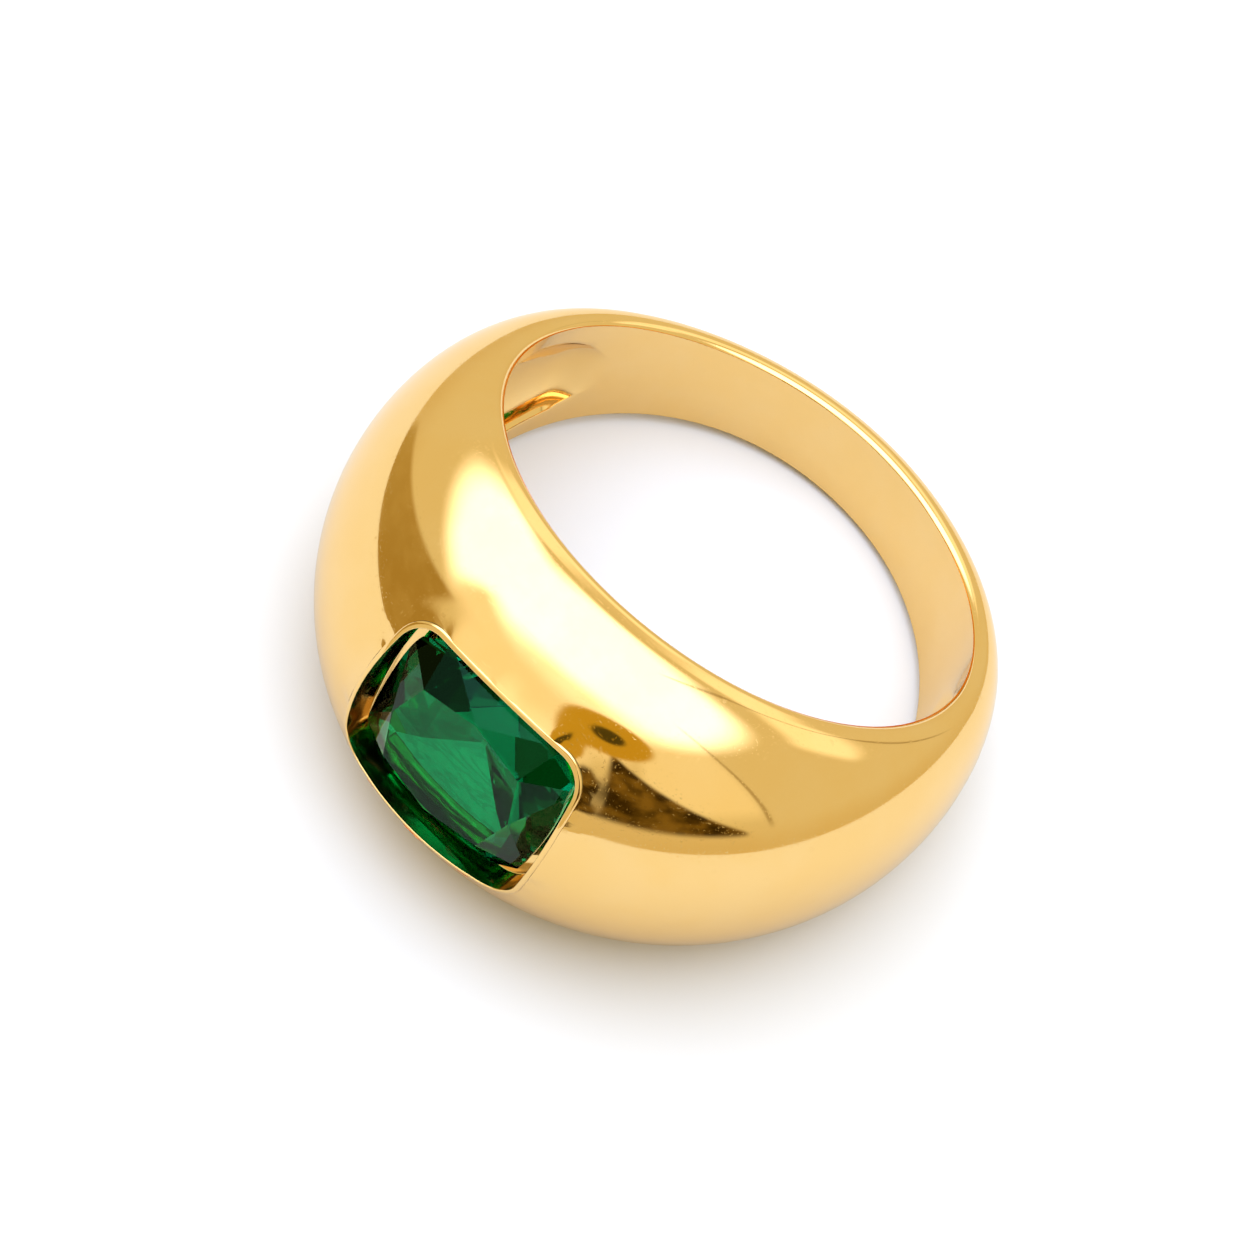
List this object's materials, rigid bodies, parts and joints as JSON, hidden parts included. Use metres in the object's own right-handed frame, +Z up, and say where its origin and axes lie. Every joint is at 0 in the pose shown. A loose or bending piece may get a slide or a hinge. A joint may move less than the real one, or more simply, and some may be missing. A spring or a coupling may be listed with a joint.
{
  "type": "cocktail ring",
  "caption": "Polished gold-tone dome ring with a tapering band, a scooped-out back and a flush-set cushion-cut green stone.",
  "frame": {"origin": "middle of the bounding box in X and Y, at the height of the surface the ring lies on", "axes": "+Z up from that surface, with the ring lying on its side on the dome's edge and the back edge of the shank; -Y towards the stone, +Y towards the back of the shank; +X to the right seen from the stone's side. The finger axis leans back from +Z towards +Y by 14.0 degrees"},
  "size_m": [0.022, 0.0228, 0.012],
  "materials": {
    "gold_plate": "mirror-polished gold plate",
    "green_stone": "polished facets, cloudy inclusions"
  },
  "bodies": {
    "root": {"dome_band": "gold_plate", "stone_collet": "gold_plate", "cushion_stone": "green_stone"}
  },
  "joints": []
}
